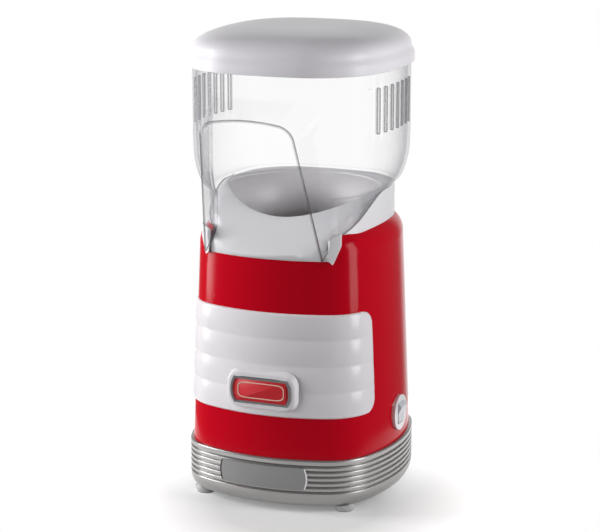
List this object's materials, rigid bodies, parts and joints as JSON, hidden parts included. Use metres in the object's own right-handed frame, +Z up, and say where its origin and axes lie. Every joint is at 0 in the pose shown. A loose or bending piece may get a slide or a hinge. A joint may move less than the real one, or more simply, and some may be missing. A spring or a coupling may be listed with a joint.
{
  "type": "hot air popcorn maker",
  "caption": "Countertop hot-air popcorn maker: drafted red body on a ribbed silver base, banded white front panel, grey chute collar, clear spouted hood and domed lid.",
  "frame": {"origin": "on the table under the popping chamber's axis, at the centre of the base", "axes": "+Z up, -Y the front with the chute and badge, +X the side with the switch"},
  "size_m": [0.1399, 0.1642, 0.3],
  "materials": {
    "red_gloss": "glossy",
    "panel_white": "glossy",
    "chrome_trim": "polished",
    "badge_red": "glossy",
    "base_silver": "satin silver paint",
    "plate_brushed": "brushed",
    "underside_black": "matte",
    "screw_steel": "zinc plated",
    "foot_grey": "matte",
    "chute_grey": "satin",
    "chamber_aluminium": "satin",
    "sheet_steel": "bare sheet",
    "inner_black": "matte",
    "motor_steel": "plated",
    "fan_grey": "matte",
    "mica_tan": "matte",
    "coil_wire": "oxidised",
    "board_green": "matte",
    "switch_white": "glossy",
    "rocker_grey": "satin",
    "terminal_brass": "bright",
    "hood_clear": "clear",
    "tab_white": "glossy",
    "lid_white": "satin"
  },
  "bodies": {
    "body": {"body_shell": "red_gloss", "front_panel": "panel_white", "badge_frame": "chrome_trim", "badge_plate": "badge_red", "base_ring": "base_silver", "base_plate": "plate_brushed", "bottom_plate": "underside_black", "bottom_screws": "screw_steel", "feet": "foot_grey", "chute_collar": "chute_grey", "popping_chamber": "chamber_aluminium", "heater_shroud": "sheet_steel", "stack_screws": "screw_steel", "fan_drum": "inner_black", "motor_bracket": "sheet_steel", "motor_can": "motor_steel", "motor_screws": "screw_steel", "motor_cap": "inner_black", "mica_frame": "mica_tan", "heating_coil": "coil_wire", "thermostat": "motor_steel", "thermal_fuse": "mica_tan", "rectifier_board": "board_green", "switch_body": "switch_white", "switch_terminals": "terminal_brass", "cord_gland": "inner_black"},
    "hood": {"hood_shell": "hood_clear", "hood_tabs": "tab_white"},
    "lid": {"lid": "lid_white"},
    "rocker": {"rocker": "rocker_grey"},
    "fan": {"motor_shaft": "motor_steel", "fan_impeller": "fan_grey", "shaft_nut": "screw_steel"}
  },
  "joints": [
    {"name": "hood_lift", "type": "slide", "parent": "body", "child": "hood", "axis": [0, 0, 1], "range_m": [0, 0.09]},
    {"name": "lid_lift", "type": "slide", "parent": "hood", "child": "lid", "axis": [0, 0, 1], "range_m": [0, 0.05]},
    {"name": "rocker_tip", "type": "hinge", "parent": "body", "child": "rocker", "pos_m": [0.06478, 0, 0.0525], "axis": [0, 1, 0], "range_deg": [-20, 0]},
    {"name": "fan_spin", "type": "hinge", "parent": "body", "child": "fan", "pos_m": [0, 0, 0.07], "axis": [0, 0, 1], "continuous": true}
  ]
}
